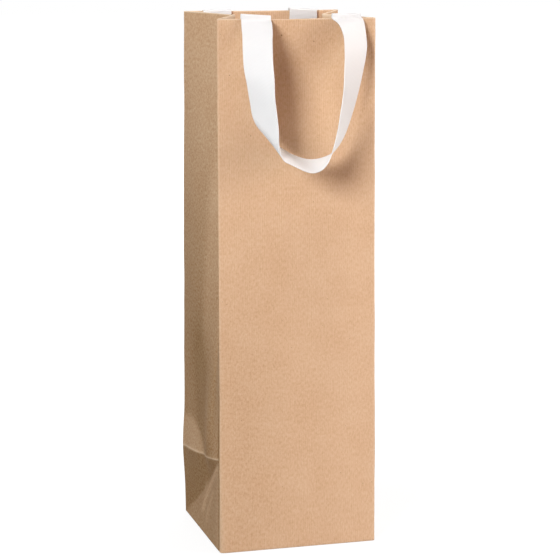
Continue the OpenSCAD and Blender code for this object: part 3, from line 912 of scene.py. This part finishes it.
def makeHandle(name, values, shift, rimY, lean, rear, nodes):
    rise, bow = (values["rearCrestRise"], values["rearBow"]) if rear else (values["crestRise"], 0.0)
    path = tapePath(values, lean, -4.0 if rear else 4.0, rise, bow)
    places, twist, dip = path[:, :3], np.radians(path[:, 3]), np.radians(path[:, 4])
    width = np.stack([np.cos(twist) * np.cos(dip), -np.sin(twist) * np.cos(dip), -np.sin(dip)], 1)
    run = np.gradient(places, axis=0)
    run /= np.linalg.norm(run, axis=1, keepdims=True)
    face = np.cross(run, width)
    slant = np.linalg.norm(face, axis=1, keepdims=True)  # under 1 where a fold slants across the tape
    face /= slant
    width /= np.maximum(slant, values["leastSlant"])
    across = np.array([-1.0, -0.985, -0.94, -0.8, -0.6, -0.35, -0.12, 0.12, 0.35, 0.6, 0.8, 0.94, 0.985, 1.0])
    length = np.concatenate([[0], np.cumsum(np.linalg.norm(np.diff(places, axis=0), axis=1))])
    drop, halfWidths = -places[:, 2], across * values["width"] / 2
    gather = 1 - values["pinch"] * (1 - smooth(drop / values["gatherDrop"]))
    points = places[:, None, :] + (width * gather[:, None])[:, None, :] * halfWidths[None, :, None]
    hangs = smooth((drop - 8) / 25)[:, None]
    # the tape can't turn sharply, so its edges are eased along its length, most where it folds at the loop's foot
    glued = values["tail"] + 10
    outside = smooth((drop - 20) / 20) * (length > glued) * (length < length[-1] - glued)
    foot = bell((np.arange(len(places)) - values["footRow"]) / 16)
    for weight, passes in ((outside, 24), (outside * foot, 60)):
        for _ in range(passes):
            eased = (points[:-2] + 2 * points[1:-1] + points[2:]) / 4
            points[1:-1] += (eased - points[1:-1]) * weight[1:-1, None, None]
    cup = values["cup"] * (across**2 - 0.5)[None, :] * hangs
    ripple = values["ripple"] * np.sin(length / 5.3)[:, None] * across[None, :] * hangs
    points += face[:, None, :] * (cup + ripple)[..., None]
    if rear:
        points[..., 0] *= -1
        points[..., 1] *= -1
    points += np.array([shift, rimY, bag["height"]])
    uv = np.stack(np.broadcast_arrays(halfWidths[None, :] + 50, length[:, None] + 10), -1)
    obj = gridMesh(name, points, uv)
    thicken(obj, values["thickness"], 0)
    obj.data.materials.append(ribbon)
    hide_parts(*nodes)
    # the tape's outward direction is worked out here, but nothing uses it
    out = np.array([0, -1, lean]) if not rear else np.array([0, 1, lean])
    out = out / np.linalg.norm(out)
    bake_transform(obj)


topFront, topBack = frontY(bag["height"]), float(backY(bag["height"]))
frontLean, backLean = bag["frontLean"] / bag["height"], bag["backLean"] / (bag["height"] - creaseBack)
makeHandle(
    "frontRibbonHandle", handle, handle["frontShift"], topFront, frontLean, False,
    ["front_ribbon_end_left", "front_ribbon_end_right", "front_handle_loop"],
)
makeHandle(
    "rearRibbonHandle", handle, handle["rearShift"], topBack, backLean, True,
    ["rear_ribbon_end_left", "rear_ribbon_end_right", "rear_handle_loop"],
)
print("ribbon handles made")

# Paper patches over the ribbon ends, and the sheet's glue flap

patch = {"height": 34.0, "drop": 14.0, "side": 3.0}
seamFlap = {"width": 16.0, "edgeGap": 1.0, "low": 2.75, "hemGap": 0.5}


def wallPiece(name, xs, zs, depth, rear, nodes, thickness):
    # a thin paper piece on the inside of the front or back panel; depth(x) is from the panel's outer face
    x, z = np.meshgrid(xs, zs)
    y = backY(z) - depth(x) if rear else frontY(z) + depth(x)
    obj = gridMesh(name, np.stack([x, y, z], -1), np.stack([x + 200, z], -1))
    thicken(obj, thickness, 1 if rear else -1)
    obj.data.materials.append(kraft)
    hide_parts(*nodes)
    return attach(obj, "bag")


def makePatch(name, shift, rear, node):
    half, tape = handle["armSpacing"] / 2, handle["width"] / 2
    xs = np.linspace(shift - half - tape - patch["side"], shift + half + tape + patch["side"], 121)
    top = bag["height"] - patch["drop"]
    zs = np.linspace(top - patch["height"], top, 14)

    def depth(x):
        # it lies on the tapes, and sinks to the hem between and beside them
        reach = np.minimum(np.abs(x - shift - half), np.abs(x - shift + half)) - tape
        onTape = 1 - smooth(reach / 2.2)
        return rimThick + 0.03 + (handle["thickness"] + 0.02) * onTape + bag["paper"]

    wallPiece(name, xs, zs, depth, rear, [node], bag["paper"])


makePatch("frontHandlePatch", handle["frontShift"], False, "front_handle_patch")
makePatch("rearHandlePatch", handle["rearShift"], True, "rear_handle_patch")
wallPiece(
    "seamFlap", np.linspace(halfW - seamFlap["width"], halfW - seamFlap["edgeGap"], 9),
    np.linspace(seamFlap["low"], bag["height"] - bag["hem"] - seamFlap["hemGap"], 60),
    lambda x: 2 * bag["paper"] + 0.02, True, ["seam_flap"], bag["paper"],
)
print("patches and seam made")

# the two rim cards are plain cut strips, and take the board's own finish
for node in ("front_top_card", "back_top_card"):
    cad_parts[node].data.materials.clear()
    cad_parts[node].data.materials.append(card)

# Studio

studio = {
    # each lamp: azimuth and elevation in degrees, distance and size in metres, power, colour
    "keyLamp": (-42.0, 20.0, 3.0, 1.0, 87.0, "#F8FCFF"),
    "frontLamp": (20.0, 8.0, 3.0, 3.4, 17.0, "#FF9450"),
    "sideLamp": (72.0, 12.0, 2.5, 1.6, 57.0, "#FFFCFA"),
    "topLamp": (-20.0, 82.0, 2.5, 1.2, 15.0, "#FFFFFF"),
    "backLamp": (165.0, 22.0, 3.0, 2.6, 78.0, "#FFFFFF"),
    "lampAim": 0.2,  # height the lamps point at, in metres
    "worldLight": 0.03,
    "floorHalf": 6.0,  # in metres, as the next two are
    "glowNear": 0.12,  # the floor's white grows from floorGlow here to full white at glowFar
    "glowFar": 0.5,
    "floorColour": "#767676",
    "floorGlow": 0.86,
}


def addLamp(name, azimuth, elevation, distance, size, power, colour):
    toward = direction(azimuth, elevation)
    data = bpy.data.lights.new(name, "AREA")
    data.shape, data.size, data.energy, data.color = "SQUARE", size, power, hexLinear(colour)[:3]
    obj = addObject(name, data)
    obj.location = Vector((0, 0, studio["lampAim"])) + toward * distance
    obj.visible_camera = False
    obj.rotation_euler = toward.to_track_quat("Z", "Y").to_euler()


def backgroundRays(material):
    # 1 for rays that show the background: seen directly, in a gloss or through glass
    path = addNode(material, "ShaderNodeLightPath")
    direct = addNode(
        material, "ShaderNodeMath", {"operation": "MAXIMUM"},
        {0: path.outputs["Is Camera Ray"], 1: path.outputs["Is Glossy Ray"]},
    )
    return addNode(
        material, "ShaderNodeMath", {"operation": "MAXIMUM"},
        {0: direct.outputs[0], 1: path.outputs["Is Transmission Ray"]},
    )


def makeWorld(values):
    world = bpy.data.worlds.new("studioWorld")
    world.use_nodes = True
    world.node_tree.nodes.clear()
    seen = backgroundRays(world)
    plain = addNode(world, "ShaderNodeBackground", {"Color": (1, 1, 1, 1), "Strength": values["worldLight"]})
    white = addNode(world, "ShaderNodeBackground", {"Color": (1, 1, 1, 1), "Strength": 1.0})
    blend = addNode(
        world, "ShaderNodeMixShader", links={0: seen.outputs[0], 1: plain.outputs[0], 2: white.outputs[0]}
    )
    addNode(world, "ShaderNodeOutputWorld", links={0: blend.outputs[0]})
    bpy.context.scene.world = world


def makeFloor(values):
    s = values["floorHalf"]
    mesh = bpy.data.meshes.new("studioFloor")
    mesh.from_pydata([(-s, -s, 0), (s, -s, 0), (s, s, 0), (-s, s, 0)], [], [(0, 1, 2, 3)])
    floor = addObject("studioFloor", mesh)
    floor.location.z = -0.0002
    paint = newMaterial("mattPaperRoll")  # a white background roll: matte, with no pattern of its own
    seen = backgroundRays(paint)
    place = addNode(paint, "ShaderNodeTexCoord")
    reach = addNode(paint, "ShaderNodeVectorMath", {"operation": "LENGTH"}, {0: place.outputs["Object"]})
    rise = addNode(
        paint, "ShaderNodeMapRange", {1: values["glowNear"], 2: values["glowFar"], 3: values["floorGlow"], 4: 1.0},
        {0: reach.outputs["Value"]},
    )
    glow = addNode(paint, "ShaderNodeMath", {"operation": "MULTIPLY"}, {0: rise.outputs[0], 1: seen.outputs[0]})
    diffuse = addNode(paint, "ShaderNodeBsdfDiffuse", {"Color": hexLinear(values["floorColour"])})
    light = addNode(paint, "ShaderNodeEmission", {"Color": (1, 1, 1, 1)}, {"Strength": glow.outputs[0]})
    both = addNode(paint, "ShaderNodeAddShader", links={0: diffuse.outputs[0], 1: light.outputs[0]})
    addNode(paint, "ShaderNodeOutputMaterial", links={0: both.outputs[0]})
    mesh.materials.append(paint)


for lamp in ("keyLamp", "frontLamp", "sideLamp", "topLamp", "backLamp"):
    addLamp(lamp, *studio[lamp])
makeWorld(studio)
makeFloor(studio)
bpy.context.scene.view_settings.view_transform = "Standard"
print("studio lit")

bpy.context.view_layer.update()
